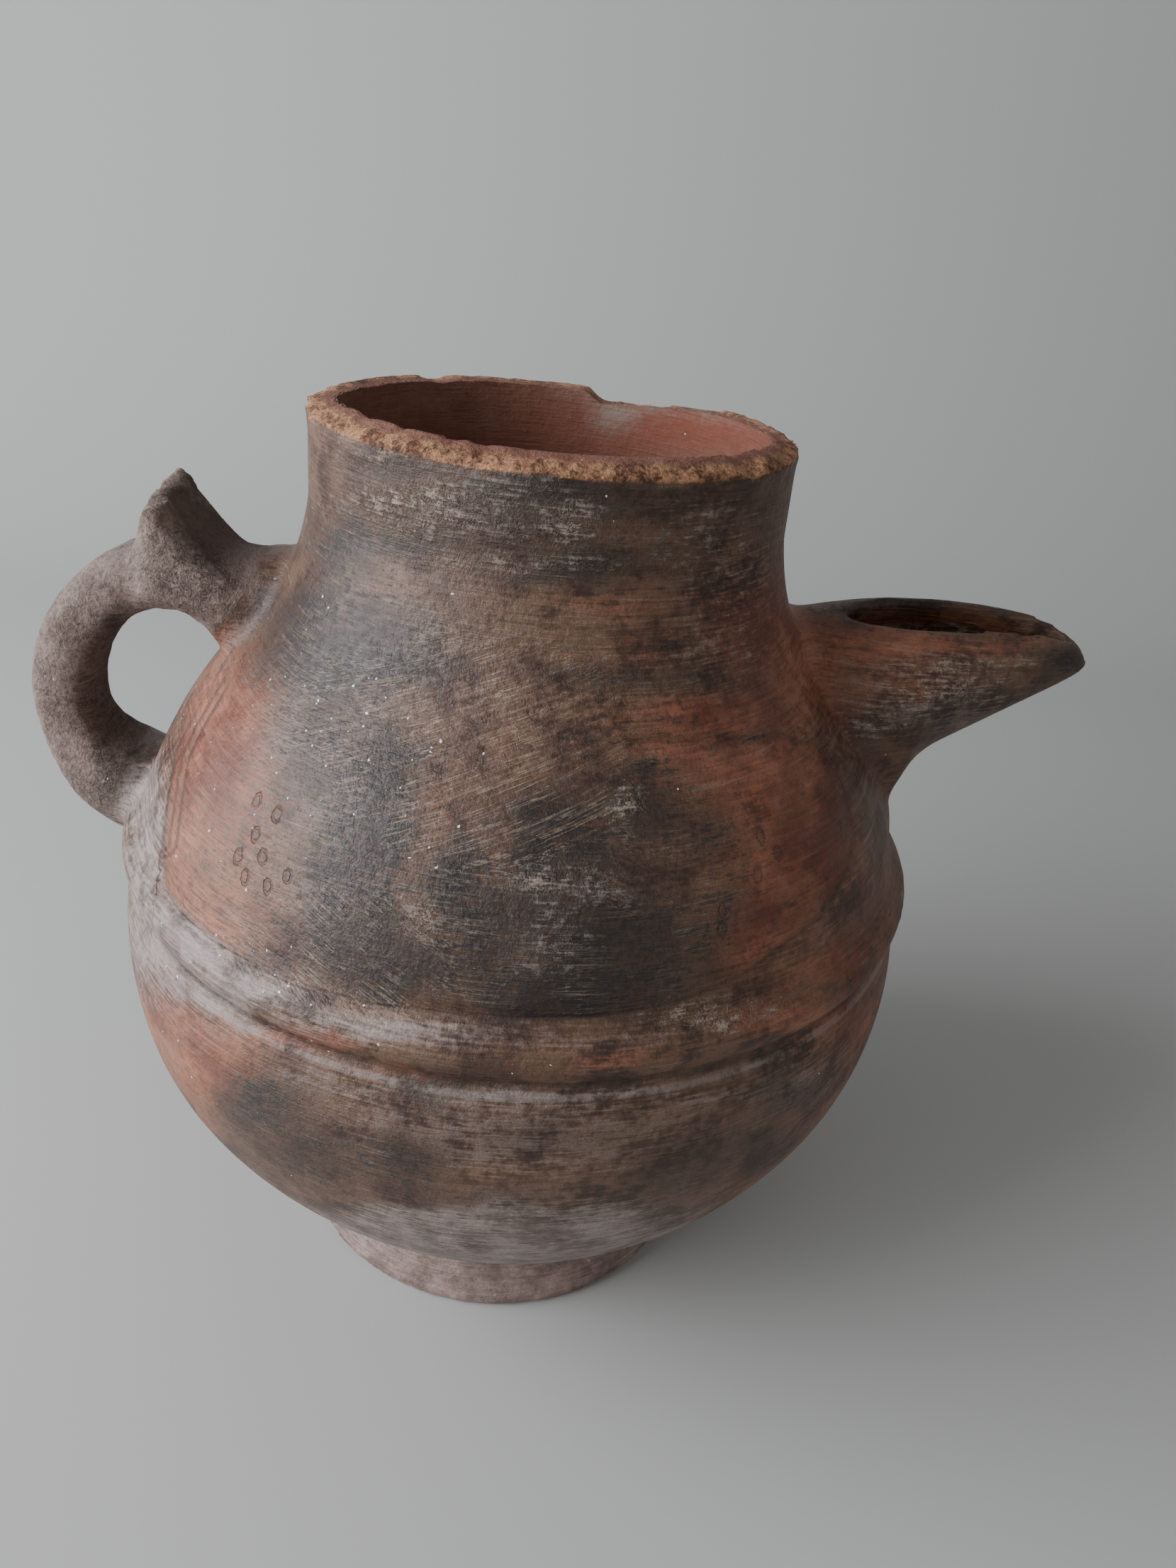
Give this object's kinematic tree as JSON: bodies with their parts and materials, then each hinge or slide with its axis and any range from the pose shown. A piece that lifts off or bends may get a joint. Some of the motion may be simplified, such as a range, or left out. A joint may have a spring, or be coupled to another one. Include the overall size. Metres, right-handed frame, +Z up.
{
  "type": "earthenware jug",
  "caption": "Hand-built earthenware jug with a beak spout, a loop handle that carries a broken strap stub, and a worn rim.",
  "frame": {"origin": "centre of the flat underside of the foot", "axes": "+Z up through the mouth, +X towards the tip of the spout, with the handle on -X"},
  "size_m": [0.2529, 0.1946, 0.2218],
  "materials": {
    "clay": "burnished"
  },
  "bodies": {
    "root": {"jug": "clay"}
  },
  "joints": []
}
